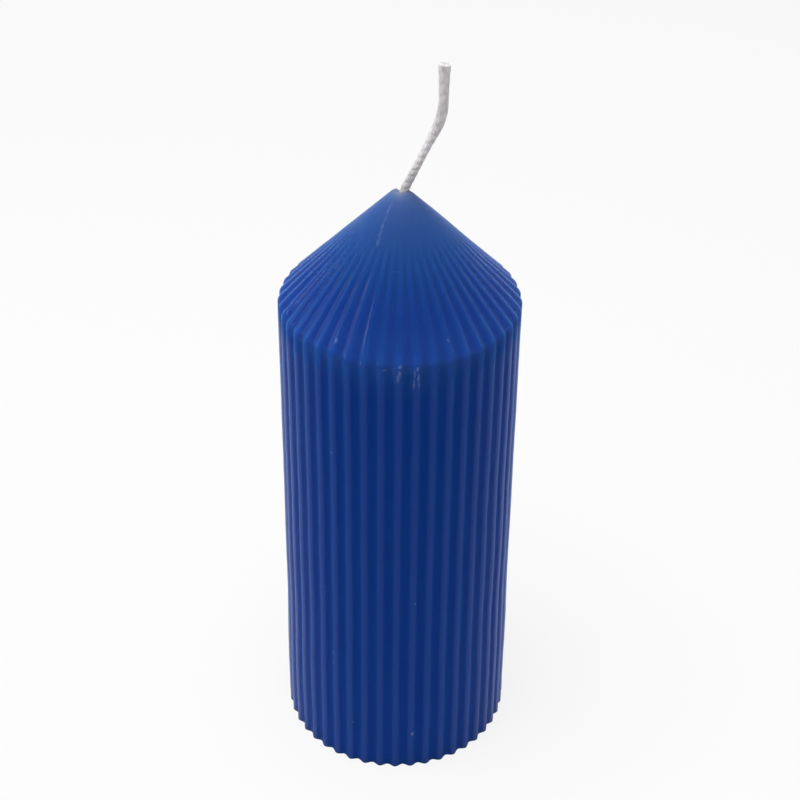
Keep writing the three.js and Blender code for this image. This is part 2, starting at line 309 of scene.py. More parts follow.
def painted_tip_glow(points):
    """How pale the wax is painted near the tip, as a glow of light through the thin wax: from 0 to 1."""
    reach = np.hypot(points[:, 0], points[:, 1]) / MM
    from_wick = np.hypot(points[:, 0] - WICK_OFF_CENTRE, points[:, 1]) / MM
    reaches, amounts = zip(*TIP_PAINTED_GLOW)
    pale = np.interp(np.minimum(reach, from_wick + WICK_OFF_CENTRE / MM), reaches, amounts)
    return np.where(points[:, 2] > WALL_HEIGHT, pale, 0)


def outline_normals(points):
    """The direction that the candle's wall or cone faces at each point, without the ribs."""
    outward = points[:, :2] / np.maximum(np.hypot(points[:, 0], points[:, 1]), TINY)[:, None]
    on_cone = smooth_step((points[:, 2] - WALL_HEIGHT + SHOULDER_GLOW) / (SHOULDER_GLOW + SHOULDER_GLOW_TOP))
    angle = WALL_DRAFT + (cone_normal - WALL_DRAFT) * on_cone
    return np.column_stack([outward * np.cos(angle)[:, None], np.sin(angle)])


def add_values(piece, name, values):
    """Keeps a number for each point of a piece, for its material."""
    attribute = piece.data.attributes.new(name, "FLOAT", "POINT")
    attribute.data.foreach_set("value", values.astype(np.float32))


def build_wax():
    rings = [*base_rings(), *wall_rings(), *shoulder_rings(), *cone_rings(), *mouth_rings()]
    points = unsettle(np.concatenate([ring for ring, _ in rings]))
    piece = new_mesh("candle_wax", points, grid_faces(len(rings), COLUMNS, closed=True))
    add_values(piece, "groove", np.concatenate([sunk for _, sunk in rings]))
    add_values(piece, "painted_tip_glow", painted_tip_glow(points))
    facing = piece.data.attributes.new("outline_normal", "FLOAT_VECTOR", "POINT")
    facing.data.foreach_set("vector", outline_normals(points).ravel().astype(np.float32))
    return piece


# Wick

BRAID_STEP = 0.14 * MM  # between the rings of the braid's bundles
SWAY_LOW = 0.23 * MM  # how far the bundles swing across the braid near the wax
SWAY_HIGH = 0.1 * MM  # and near the cut end, where the braid is pressed flat
SWAY_CHANGE_START = 0.2  # as a share of the stub's height
SWAY_CHANGE_SPAN = 0.25
LIFT_SHARE = 0.3  # of the sway, across the thickness
CORE_SHARE = 0.94  # of the wick's width and thickness
CORE_POINTS = 40
HIDDEN_POINTS = 28
HIDDEN_RINGS = 12
BUNDLES = 3
BUNDLE_POINTS = 54
YARNS = 9  # in a bundle, round its outside
YARN_RELIEF = 0.02
YARN_TWIST = 5 * MM
TIGHT_PITCH = 5.4 * MM  # length of one turn of the plait near the wax
LOOSE_PITCH = 8 * MM  # and near the cut end
PITCH_CHANGE_START = 0.35
PITCH_CHANGE_SPAN = 0.3
CUT_SLANT = 0.28
CUT_FLARE = 0.1
CUT_FLARE_LENGTH = 3 * MM
START_ARC_STEPS = 20
BEND_ARC_STEPS = 60

# Stray fibres of the wick
FIBRE_COUNT = 60
FIBRE_SEED = 11
FIBRE_POINTS = 6
FIBRE_SIDES = 3
FIBRE_RADIUS = 0.011 * MM
FIBRE_LENGTHS = (0.15 * MM, 0.45 * MM)
FIBRE_BEND = 0.35
FIBRE_LEAN = 0.9  # at most, up or down the wick
FIBRE_START = 6 * MM  # along the wick's line
FIBRE_REACH = 0.92  # of the way from the wick's middle to its surface
END_FIBRE_EVERY = 3  # every third fibre stands on the cut end
END_FIBRE_LEAN = 1.6
END_FIBRE_REACH = 0.8  # at most
ANY_DIRECTION = (0.31, 0.62, 0.72)  # lies along no fibre


def bezier(a, b, c, steps):
    t = np.linspace(0, 1, steps)[:, None]
    return (1 - t) ** 2 * a + 2 * t * (1 - t) * b + t**2 * c


def even_line(points, step):
    """Points a fixed step apart along a line of straight pieces."""
    lengths = np.concatenate([[0], np.cumsum(np.linalg.norm(np.diff(points, axis=0), axis=1))])
    places = np.arange(0, lengths[-1], step)
    return np.stack([np.interp(places, lengths, points[:, k]) for k in range(3)], axis=1)


def wick_line():
    """The middle line of the free stub, from inside the mouth to the cut end."""
    up = np.array([0, 0, 1.0])
    leaning = np.array([math.sin(STUB_LEAN), 0, math.cos(STUB_LEAN)])
    start = np.array([WICK_OFF_CENTRE, 0, tip_height - STUB_START_DEPTH])
    rise = STUB_BEND_HEIGHT + STUB_START_DEPTH
    bend = start + np.array([rise * math.tan(STUB_LEAN), 0, rise])
    end = np.array([bend[0], 0, wick_high.z])
    into_lean = start + leaning * STUB_START_REACH
    out_of_lean = bend - leaning * STUB_BEND_REACH
    start_arc = bezier(start - up * STUB_START_REACH, start, into_lean, START_ARC_STEPS)
    bend_arc = bezier(out_of_lean, bend, bend + up * STUB_BEND_REACH, BEND_ARC_STEPS)
    below = start - up * STUB_RUN_BELOW
    return even_line(np.vstack([below, start_arc, bend_arc, end]), BRAID_STEP)


def unit(vectors):
    return vectors / np.linalg.norm(vectors, axis=1)[:, None]


def wick_frames(line):
    """At each point of a line, the tangent and the directions across the braid's broad and narrow sides."""
    tangent = unit(np.gradient(line, axis=0))
    side = np.stack([tangent[:, 2], np.zeros(len(line)), -tangent[:, 0]], axis=1)
    up = (line[:, 2] - tip_height) / MM
    heights, degrees = zip(*WICK_TURNS)
    turn = np.zeros(len(line))
    for low, high, first, last in zip(heights, heights[1:], degrees, degrees[1:]):
        turn = np.where(up >= low, first + (last - first) * smooth_step((up - low) / (high - low)), turn)
    turn = np.radians(np.where(up < heights[0], degrees[0], turn))[:, None]
    depth = np.cross(tangent, side)
    broad = side * np.cos(turn) + depth * np.sin(turn)
    return tangent, broad, np.cross(tangent, broad)


def stub_share(line):
    """How far up the free stub each point of the line is, from 0 at the tip to 1 at the cut end."""
    return (line[:, 2] - tip_height) / (wick_high.z - tip_height)


def braid_phase(line):
    """Turns of the braid along the line. The plait is tighter near the wax than at the cut end."""
    loose = smooth_step((stub_share(line) - PITCH_CHANGE_START) / PITCH_CHANGE_SPAN)
    pitch = TIGHT_PITCH + (LOOSE_PITCH - TIGHT_PITCH) * loose
    return np.concatenate([[0], np.cumsum(BRAID_STEP / pitch[1:])]) * TURN


def bundle(line, frames, phase, number):
    """One of the three bundles of yarn in the plait, as rings of points."""
    _, broad, narrow = frames
    p = phase + TURN * number / BUNDLES
    pressed = smooth_step((stub_share(line) - SWAY_CHANGE_START) / SWAY_CHANGE_SPAN)
    sway = SWAY_LOW + (SWAY_HIGH - SWAY_LOW) * pressed
    lift = sway * LIFT_SHARE
    flare = 1 + CUT_FLARE * smooth_step(1 - (line[-1, 2] - line[:, 2]) / CUT_FLARE_LENGTH)
    half_width = (WICK_WIDTH / 2 - sway) * flare
    half_thickness = (WICK_THICKNESS / 2 - lift) * flare
    path = line + broad * (sway * np.sin(p))[:, None] + narrow * (lift * np.sin(2 * p))[:, None]
    tangent = unit(np.gradient(path, axis=0))
    wide = unit(broad - tangent * np.sum(broad * tangent, axis=1)[:, None])
    thick = np.cross(tangent, wide)
    angle = TURN * np.arange(BUNDLE_POINTS) / BUNDLE_POINTS
    along = np.arange(len(line)) * BRAID_STEP
    lobes = np.cos(YARNS * (angle[None, :] + TURN * along[:, None] / (YARN_TWIST * YARNS)))
    grow = 1 + YARN_RELIEF * lobes
    across = (grow * np.cos(angle) * half_width[:, None])[:, :, None] * wide[:, None, :]
    deep = (grow * np.sin(angle) * half_thickness[:, None])[:, :, None] * thick[:, None, :]
    return path[:, None, :] + across + deep


def capped(rings, start):
    """Vertices and faces of a tube through the rings, closed at both ends."""
    count, columns = rings.shape[:2]
    faces = grid_faces(count, columns, start)
    low, high = start + count * columns, start + count * columns + 1
    last = start + (count - 1) * columns
    for c in range(columns):
        d = (c + 1) % columns
        faces.append((low, start + d, start + c))
        faces.append((high, last + c, last + d))
    vertices = np.vstack([rings.reshape(-1, 3), rings[0].mean(axis=0), rings[-1].mean(axis=0)])
    return vertices, faces


def oval_rings(line, frames, width, thickness, columns):
    """A plain oval tube along a line, as rings of points."""
    _, broad, narrow = frames
    angle = TURN * np.arange(columns) / columns
    across = np.cos(angle)[None, :, None] * broad[:, None, :] * width / 2
    deep = np.sin(angle)[None, :, None] * narrow[:, None, :] * thickness / 2
    return line[:, None, :] + across + deep


def core_rings(line, frames):
    """The inside of the plait, which shows between the bundles and ends a step below the cut."""
    rings = oval_rings(line, frames, WICK_WIDTH * CORE_SHARE, WICK_THICKNESS * CORE_SHARE, CORE_POINTS)
    return rings[:-1]


def hidden_rings(top):
    """The wick inside the candle, from the tab's neck to the braid."""
    heights = np.linspace(wick_low.z, top, HIDDEN_RINGS)
    line = np.array([[WICK_OFF_CENTRE, 0, z] for z in heights])
    frames = wick_frames(line)
    return oval_rings(line, frames, WICK_WIDTH * CORE_SHARE, WICK_THICKNESS * CORE_SHARE, HIDDEN_POINTS)


def fibre(root, direction, bend, length):
    """A stray cotton fibre: a thin three-sided tube along a short bent line."""
    t = np.linspace(0, 1, FIBRE_POINTS)[:, None]
    line = root + direction * length * t + bend * length * t**2
    tangent = unit(np.gradient(line, axis=0))
    side = unit(np.cross(tangent, ANY_DIRECTION))
    frames = tangent, side, np.cross(tangent, side)
    return oval_rings(line, frames, 2 * FIBRE_RADIUS, 2 * FIBRE_RADIUS, FIBRE_SIDES)


def stray_fibres(line, frames):
    """Loose ends of cotton, on the sides of the stub and on its cut end."""
    rng = np.random.RandomState(FIBRE_SEED)
    tangent, broad, narrow = frames
    first = int(FIBRE_START / BRAID_STEP)
    last = len(line) - 2
    found = []
    for n in range(FIBRE_COUNT):
        at_end = n % END_FIBRE_EVERY == 0
        i = last if at_end else rng.randint(first, last)
        angle = rng.uniform(0, TURN)
        across = broad[i] * math.cos(angle)
        deep = narrow[i] * math.sin(angle)
        reach = END_FIBRE_REACH * rng.rand() if at_end else FIBRE_REACH
        root = line[i] + (across * WICK_WIDTH + deep * WICK_THICKNESS) * reach / 2
        lean = END_FIBRE_LEAN if at_end else rng.uniform(-FIBRE_LEAN, FIBRE_LEAN)
        direction = across + deep + tangent[i] * lean
        direction /= np.linalg.norm(direction)
        bend = rng.normal(size=3) * FIBRE_BEND
        length = rng.uniform(*FIBRE_LENGTHS)
        found.append(fibre(root, direction, bend, length))
    return found


def build_wick():
    line = wick_line()
    frames = wick_frames(line)
    phase = braid_phase(line)
    tubes = []
    for number in range(BUNDLES):
        rings = bundle(line, frames, phase, number)
        end = rings[-1]
        end[:, 2] -= (end[:, 0] - line[-1, 0]) * CUT_SLANT
        tubes.append(rings)
    tubes.append(core_rings(line, frames))
    tubes.append(hidden_rings(line[0, 2] + MM))
    tubes += stray_fibres(line, frames)
    vertices, faces = [], []
    for rings in tubes:
        start = sum(len(v) for v in vertices)
        more, quads = capped(rings, start)
        vertices.append(more)
        faces += quads
    return new_mesh("braided_wick", np.vstack(vertices), faces)


# Wick tab

TAB_COLUMNS = 120
TAB_SHEET = 0.4 * MM
TAB_EDGE = 0.3 * TAB_SHEET  # rounding of the sheet's edges
TAB_RADIAL_STEPS = 30
TAB_NECK_STEPS = 18
NECK_BORE = 1.75 * MM
NECK_OUTSIDE = NECK_BORE + TAB_SHEET
NECK_ZONE = NECK_OUTSIDE + 0.1 * MM  # what lies nearer to the axis is squeezed by the crimp
BEAD_RADIUS = 5 * MM
BEAD_HALF_WIDTH = 0.9 * MM
BEAD_RISE = 0.35 * MM
CRIMP_SQUEEZE = 0.25 * MM
CRIMP_HEIGHT = 3.4 * MM
CRIMP_SPAN = 2.2 * MM


def bead(radius):
    """Height of the stamped bead over the flat of the tab."""
    away = np.abs(radius - BEAD_RADIUS) / BEAD_HALF_WIDTH
    return BEAD_RISE * smooth_step(1 - away)


def tab_outline():
    """The stamped sheet's closed section: its underside, the rim, its top side, and round the neck."""
    rim = (tab_high.x - tab_low.x) / 2
    bottom, neck_top = tab_low.z, tab_high.z
    edge = TAB_EDGE
    outward = np.linspace(NECK_BORE + edge, rim - edge, TAB_RADIAL_STEPS)
    inward = np.linspace(rim - edge, NECK_OUTSIDE + 2 * edge, TAB_RADIAL_STEPS)
    heights = np.linspace(bottom + TAB_SHEET + 2 * edge, neck_top - edge, TAB_NECK_STEPS)
    return [
        *((r, bottom + bead(r)) for r in outward),
        (rim, bottom + edge),
        (rim, bottom + TAB_SHEET - edge),
        *((r, bottom + TAB_SHEET + bead(r)) for r in inward),
        *((NECK_OUTSIDE, z) for z in heights),
        (NECK_OUTSIDE - edge, neck_top),
        (NECK_BORE + edge, neck_top),
        *((NECK_BORE, z) for z in heights[::-1]),
        (NECK_BORE, bottom + edge),
    ]


def build_tab():
    outline = np.array(tab_outline())
    angle = TURN * np.arange(TAB_COLUMNS) / TAB_COLUMNS
    radius, height = outline[:, :1], outline[:, 1:]
    away = np.abs(height - tab_low.z - CRIMP_HEIGHT) / (CRIMP_SPAN / 2)
    pinch = np.where(radius < NECK_ZONE, smooth_step(1 - away), 0) * CRIMP_SQUEEZE
    x = WICK_OFF_CENTRE + radius * np.cos(angle) * (1 - pinch / NECK_BORE)
    y = radius * np.sin(angle)
    z = height + 0 * angle
    points = np.stack([x, y, z], axis=2).reshape(-1, 3)
    return new_mesh("stamped_tab", points, grid_faces(len(outline), TAB_COLUMNS, closed=True))


# Materials


def add(tree, kind, inputs=None, **settings):
    """A node with its settings made and its inputs set or linked."""
    node = tree.nodes.new(kind)
    for name, value in settings.items():
        setattr(node, name, value)
    for name, value in (inputs or {}).items():
        if isinstance(value, bpy.types.NodeSocket):
            tree.links.new(value, node.inputs[name])
        else:
            node.inputs[name].default_value = value
    return node


def new_material(name):
    material = bpy.data.materials.new(name)
    material.use_nodes = True
    material.node_tree.nodes.clear()
    return material, material.node_tree


def srgb(red, green, blue):
    """A colour given as 0 to 255 in the usual screen scale, as the renderer's linear values."""
    scaled = (np.array([red, green, blue]) / 255).tolist()
    return (*[c / 12.92 if c <= 0.04045 else ((c + 0.055) / 1.055) ** 2.4 for c in scaled], 1)


WHITE = (1, 1, 1, 1)
NOISE_MIDDLE = (0.3, 0.7)  # a noise's values seldom lie outside these


def maths(tree, operation, a, b=0.0, c=0.0, clamp=False):
    return add(tree, "ShaderNodeMath", {0: a, 1: b, 2: c}, operation=operation, use_clamp=clamp).outputs[0]


def ramp_between(tree, value, low, high, to_low=0.0, to_high=1.0):
    """A smooth change from to_low, where the value is low, to to_high, where it is high."""
    inputs = {"Value": value, "From Min": low, "From Max": high, "To Min": to_low, "To Max": to_high}
    return add(tree, "ShaderNodeMapRange", inputs, interpolation_type="SMOOTHSTEP").outputs["Result"]


def mix_colour(tree, factor, a, b):
    node = add(tree, "ShaderNodeMix", data_type="RGBA")
    for socket, value in ((node.inputs[0], factor), (node.inputs[6], a), (node.inputs[7], b)):
        if isinstance(value, bpy.types.NodeSocket):
            tree.links.new(value, socket)
        else:
            socket.default_value = value
    return node.outputs[2]


def noise(tree, vector, scale, detail=3.0, roughness=0.5):
    inputs = {"Vector": vector, "Scale": scale, "Detail": detail, "Roughness": roughness}
    return add(tree, "ShaderNodeTexNoise", inputs).outputs["Fac"]


def stretched(tree, vector, x, y, z):
    return add(tree, "ShaderNodeMapping", {"Vector": vector, "Scale": (x, y, z)}).outputs["Vector"]


# the wax's blue, with painted shade on the crests and painted light in the grooves, which even out the shade
# in the grooves
WAX_CREST_PAINTED_SHADE = srgb(3, 54, 132)
WAX_GROOVE_PAINTED_LIGHT = srgb(5, 58, 145)  # painted light: lighter than the crests, to offset the shade that falls in the grooves
# pale colour of the rubs and specks, and of the painted highlights at the shoulder
WAX_RUB_AND_GLINT = srgb(176, 192, 224)
# painted light: the pale glow of the shoulder's edge
WAX_PAINTED_SHOULDER_GLOW = srgb(34, 80, 148)
WAX_UPPER = srgb(23, 72, 141)  # painted light: lighter towards the tip, as of light coming through the thinner wax
# painted light: the pale glow of the thin wax at the tip
WAX_TIP = srgb(120, 134, 166)
GLOSS = 0.42
GROOVE_GLOSS = 0.28  # of the gloss, left in the grooves, where nothing has rubbed the wax
UPPER_GLOSS = 0.45  # of the gloss, left on the smooth wax near the tip
GLOSS_DEPTHS = (0.44, 0.28)  # in a groove's depth, where the crest's gloss sets in and is full
GROOVE_PAINTED_LIGHT_DEPTHS = (0.2, 0.6)  # in a groove's depth, where its painted light sets in and is full
RUB_AND_GLINT_HAZE = 0.3
WAX_ROUGHNESS = (0.28, 0.38)
RUB_ROUGHNESS = 0.3  # more than that, where the wax is rubbed
WAX_GLOW = 1.0  # share of the light that goes through the wax
TIP_GLOW_LOSS = 0.85  # of it, where the tip is pale
GRAIN_SCALE = 900
STREAK_SCALE = 1400
STREAK_STRETCH = 0.06
GRAIN_DETAIL = (4, 0.6)
STREAK_DETAIL = (3, 0.6)

# How far the normals are turned to those of a candle without ribs, as light spreads inside the wax
RIB_SOFTNESS = 0.94
CONE_SOFTNESS = 1.0
GLOSS_SOFTNESS = 0.8
CONE_GLOSS_SOFTNESS = 0.3

# Heights between which a look of the wall or the cone changes to the next one
CONE_GLOSS_ZONE = (WALL_HEIGHT - 5 * MM, WALL_HEIGHT + MM)
UPPER_GLOSS_ZONE = (WALL_HEIGHT + 9 * MM, WALL_HEIGHT + 17 * MM)
UPPER_COLOUR_ZONE = (WALL_HEIGHT + 6 * MM, tip_height - 8 * MM)
SOFTNESS_ZONE = (WALL_HEIGHT - 2 * MM, WALL_HEIGHT + 4 * MM)
GLOSS_SOFTNESS_ZONE = (WALL_HEIGHT - MM, WALL_HEIGHT + 2 * MM)

# Painted light on the shoulder's edge: a pale glow, as of light coming through the wax there
PAINTED_SHOULDER_GLOW = 0.5  # share of the pale colour
HAZE_BELOW = (WALL_HEIGHT - 11 * MM, WALL_HEIGHT + MM)
HAZE_ABOVE = (WALL_HEIGHT + 7 * MM, WALL_HEIGHT)
HAZE_CLOUD_SCALE = 260
HAZE_RAGGEDNESS = 3 * MM
HAZE_PATCH_EDGES = (0.35, 0.65)  # in the cloud's values
HAZE_PATCHES = (0.8 * PAINTED_SHOULDER_GLOW, 1.1 * PAINTED_SHOULDER_GLOW)
HAZE_ON_CRESTS = 0.6
HAZE_GROOVE_ZONE = (WALL_HEIGHT - 2 * MM, WALL_HEIGHT + MM)
HAZE_IN_GROOVES = (0.5, -0.4)  # added in the grooves of the wall, and in those of the cone

# Rubs and specks in the photograph, and painted highlights among them
MARK_EDGE = (0.95, 0.1)  # share of the way out from a mark's middle where it sets in and is full
MARK_GRAIN_SCALE = 2600
MARK_RAGGEDNESS = 1.6

# Degrees from the front towards +X, height, width and length in mm, strength
WAX_MARKS_AND_GLINTS = (
    # rubs under the shoulder, at the front
    (0.5, 129.3, 0.6, 0.7, 0.8),
    (0.2, 127.6, 0.55, 1.6, 0.55),
    (-0.5, 126.2, 0.5, 1.8, 0.45),
    (-2.6, 127.6, 0.35, 1.6, 0.4),
    (-2.2, 125.4, 0.3, 1.4, 0.3),
    (8.2, 128.7, 0.4, 0.8, 0.75),
    (8.7, 126.4, 0.5, 1.5, 0.55),
    (7.0, 127.4, 0.35, 1.8, 0.4),
    (6.6, 124.6, 0.45, 1.6, 0.5),
    (8.9, 124.4, 0.35, 1.6, 0.35),
    # painted highlights: glints where the grooves' floors fold under the shoulder
    (-6.4, 128.3, 0.9, 0.25, 0.5),
    (3.9, 128.7, 0.5, 0.25, 0.3),
    (12.3, 128.6, 0.8, 0.25, 0.5),
    (14.0, 129.4, 0.5, 0.4, 0.25),
    # pale spots on the shoulder's left corners, painted as highlights of the light from the left
    (-17.6, 129.4, 0.3, 0.9, 0.5),
    (-10.0, 130.0, 0.35, 1.0, 0.55),
    (-25.5, 130.2, 0.3, 0.7, 0.35),
    (-32.0, 132.3, 0.5, 0.9, 0.6),
    (25.0, 133.2, 0.4, 0.6, 0.5),
    # specks on the wall
    (11.4, 114.0, 0.5, 0.7, 0.6),
    (-32.5, 102.0, 0.4, 0.5, 0.5),
    (-41.4, 57.5, 0.4, 0.5, 0.4),
    (9.2, 58.1, 0.5, 0.8, 0.5),
    (-45.2, 44.1, 0.5, 0.6, 0.5),
    (-42.1, 40.4, 0.4, 0.5, 0.5),
    (-33.9, 36.8, 0.6, 0.9, 0.6),
    (-33.9, 33.5, 0.5, 0.7, 0.6),
    (-44.2, 25.3, 0.5, 0.7, 0.6),
    (8.7, 12.4, 0.6, 0.8, 0.9),
    (-35.1, 17.3, 0.4, 0.5, 0.4),
    (-26.9, 18.7, 0.4, 0.5, 0.4),
    (-22.4, 14.3, 0.4, 0.5, 0.4),
    # the flow line on the cone, and a tick in front of it
    (-35.1, 155.4, 0.5, 2.4, 0.45),
    (-34.9, 155.1, 0.4, 0.6, 0.5),
    (-34.2, 153.6, 0.5, 1.6, 0.3),
    (-33.3, 152.4, 0.55, 1.8, 0.45),
    (-31.6, 151.1, 0.6, 1.8, 0.35),
    (-29.8, 149.8, 0.7, 1.6, 0.3),
    (-3.3, 145.3, 1.3, 0.2, 0.3),
)


def surface_radius(height):
    """Distance from the axis to the crests of the wall or the cone."""
    if height < WALL_HEIGHT:
        return foot_radius - height * math.tan(WALL_DRAFT)
    return shoulder_radius - (height - WALL_HEIGHT) / math.tan(CONE_SLOPE)


def wax_marks_and_glints(tree, position):
    """A mask of the rubs and specks, and of the painted highlights at the shoulder. Each is an ellipse with a
    ragged edge, which lies on the crests.
    """
    grain = noise(tree, position, MARK_GRAIN_SCALE, 2)
    ragged = maths(tree, "MULTIPLY_ADD", grain, MARK_RAGGEDNESS, -MARK_RAGGEDNESS / 2)
    total = 0.0
    for degrees, height, width, length, strength in WAX_MARKS_AND_GLINTS:
        angle = FRONT + math.radians(degrees)
        reach = surface_radius(height * MM)
        tilt = cone_normal if height * MM > WALL_HEIGHT else 0
        settings = {
            "Vector": position,
            "Location": (reach * math.cos(angle), reach * math.sin(angle), height * MM),
            "Rotation": (tilt, 0, angle - math.pi / 2),
            "Scale": (width * MM, MM, length * MM),
        }
        local = add(tree, "ShaderNodeMapping", settings, vector_type="TEXTURE").outputs["Vector"]
        distance = add(tree, "ShaderNodeVectorMath", {0: local}, operation="LENGTH").outputs["Value"]
        spot = ramp_between(tree, maths(tree, "ADD", distance, ragged), *MARK_EDGE, 0.0, strength)
        total = maths(tree, "MAXIMUM", spot, total)
    return total


def wax_gloss(tree, height):
    """The wall's crests, which are rubbed, are glossier than its grooves. The cone is glossy all over."""
    groove = add(tree, "ShaderNodeAttribute", attribute_name="groove").outputs["Fac"]
    on_cone = ramp_between(tree, height, *CONE_GLOSS_ZONE)
    wall = ramp_between(tree, groove, *GLOSS_DEPTHS, GROOVE_GLOSS * GLOSS, GLOSS)
    cone = ramp_between(tree, height, *UPPER_GLOSS_ZONE, GLOSS, UPPER_GLOSS * GLOSS)
    return maths(tree, "MULTIPLY_ADD", on_cone, maths(tree, "SUBTRACT", cone, wall), wall)


def paint_shoulder_glow(tree, position, height, groove):
    """Painted light where the edge between wall and cone glows pale: patchy, and fading down the wall."""
    cloud = noise(tree, stretched(tree, position, 1, 1, 0.5), HAZE_CLOUD_SCALE)
    uneven = maths(tree, "MULTIPLY_ADD", cloud, HAZE_RAGGEDNESS, height)
    below = ramp_between(tree, uneven, *HAZE_BELOW)
    above = ramp_between(tree, height, *HAZE_ABOVE)
    patchy = ramp_between(tree, cloud, *HAZE_PATCH_EDGES, *HAZE_PATCHES)
    haze = maths(tree, "MULTIPLY", maths(tree, "MULTIPLY", below, above), patchy)
    in_groove = ramp_between(tree, height, *HAZE_GROOVE_ZONE, *HAZE_IN_GROOVES)
    share = maths(tree, "MULTIPLY_ADD", groove, in_groove, HAZE_ON_CRESTS, clamp=True)
    return maths(tree, "MULTIPLY", haze, share)


def flattened_normal(tree, share):
    """The surface's normal, turned by a share of the way to that of the outline, which has no ribs."""
    true = add(tree, "ShaderNodeNewGeometry").outputs["Normal"]
    outline = add(tree, "ShaderNodeAttribute", attribute_name="outline_normal").outputs["Vector"]
    node = add(tree, "ShaderNodeMix", {"Factor": share}, data_type="VECTOR")
    tree.links.new(true, node.inputs[4])
    tree.links.new(outline, node.inputs[5])
    return add(tree, "ShaderNodeVectorMath", {0: node.outputs[1]}, operation="NORMALIZE").outputs["Vector"]


def wax_normals(tree, height, relief):
    """The normal of the wax and that of its gloss, both with the wax's fine relief."""
    body = ramp_between(tree, height, *SOFTNESS_ZONE, RIB_SOFTNESS, CONE_SOFTNESS)
    gloss = ramp_between(tree, height, *GLOSS_SOFTNESS_ZONE, GLOSS_SOFTNESS, CONE_GLOSS_SOFTNESS)
    normals = []
    for softness in (body, gloss):
        base = flattened_normal(tree, softness)
        settings = {"Height": relief, "Strength": 0.25, "Distance": 0.05 * MM, "Normal": base}
        normals.append(add(tree, "ShaderNodeBump", settings).outputs["Normal"])
    return normals


def wax_colour(tree, position, height, marks_and_glints, tip):
    """Blue all through, with painted light and shade: lighter in the grooves than on the crests, lighter
    towards the tip, a pale glow at the shoulder and at the tip, and pale where rubbed, with painted
    highlights among the rubs.
    """
    groove = add(tree, "ShaderNodeAttribute", attribute_name="groove").outputs["Fac"]
    # painted light and shade: darker crests and lighter grooves, to even out the shade in the grooves
    colour = mix_colour(tree, ramp_between(tree, groove, *GROOVE_PAINTED_LIGHT_DEPTHS), WAX_CREST_PAINTED_SHADE, WAX_GROOVE_PAINTED_LIGHT)
    upper = ramp_between(tree, height, *UPPER_COLOUR_ZONE)
    # painted light: lighter towards the tip
    colour = mix_colour(tree, upper, colour, WAX_UPPER)
    # painted light: the shoulder's pale glow
    colour = mix_colour(tree, paint_shoulder_glow(tree, position, height, groove), colour, WAX_PAINTED_SHOULDER_GLOW)
    # pale rubs and specks, with painted highlights among them
    colour = mix_colour(tree, maths(tree, "MULTIPLY", marks_and_glints, RUB_AND_GLINT_HAZE), colour, WAX_RUB_AND_GLINT)
    # painted light: the tip's pale glow
    return mix_colour(tree, tip, colour, WAX_TIP)


def wax_material():
    material, tree = new_material("blue_wax")
    position = add(tree, "ShaderNodeTexCoord").outputs["Object"]
    height = add(tree, "ShaderNodeSeparateXYZ", {"Vector": position}).outputs["Z"]
    # the tip's painted glow, which also lowers the subsurface glow there
    tip = add(tree, "ShaderNodeAttribute", attribute_name="painted_tip_glow").outputs["Fac"]
    grain = noise(tree, position, GRAIN_SCALE, *GRAIN_DETAIL)
    streak = noise(tree, stretched(tree, position, 1, 1, STREAK_STRETCH), STREAK_SCALE, *STREAK_DETAIL)
    relief = maths(tree, "ADD", maths(tree, "MULTIPLY", streak, 0.5), grain)
    normal, gloss_normal = wax_normals(tree, height, relief)
    marks_and_glints = wax_marks_and_glints(tree, position)
    streaky = ramp_between(tree, streak, *NOISE_MIDDLE, *WAX_ROUGHNESS)
    shader = add(
        tree,
        "ShaderNodeBsdfPrincipled",
        {
            "Base Color": wax_colour(tree, position, height, marks_and_glints, tip),
            "Roughness": maths(tree, "MULTIPLY_ADD", marks_and_glints, RUB_ROUGHNESS, streaky),
            "Normal": normal,
            "IOR": 1.44,
            "Specular IOR Level": 0.0,
            "Coat Weight": wax_gloss(tree, height),
            "Coat IOR": 1.33,
            "Coat Roughness": 0.1,
            "Coat Normal": gloss_normal,
            "Sheen Weight": 0.18,
            "Sheen Roughness": 0.35,
            "Subsurface Weight": maths(tree, "MULTIPLY_ADD", tip, -TIP_GLOW_LOSS, WAX_GLOW),
            "Subsurface Radius": (0.25, 0.6, 1.0),
            "Subsurface Scale": 8 * MM,
        },
    )
    add(tree, "ShaderNodeOutputMaterial", {"Surface": shader.outputs[0]})
    return material


COTTON = srgb(244, 237, 238)
COTTON_SOAKED = srgb(208, 204, 205)  # where wax has climbed the wick
SOAKED_HEIGHT = 14 * MM
COTTON_PATCH_EDGES = (0.35, 0.7)  # in a noise's values
COTTON_PATCH_SHARE = 0.3
COTTON_ROUGHNESS = (0.6, 0.8)
FIBRE_STRETCH = 0.12
FIBRE_SCALE = 9000
FIBRE_DETAIL = (4, 0.7)
PATCH_SCALE = 600


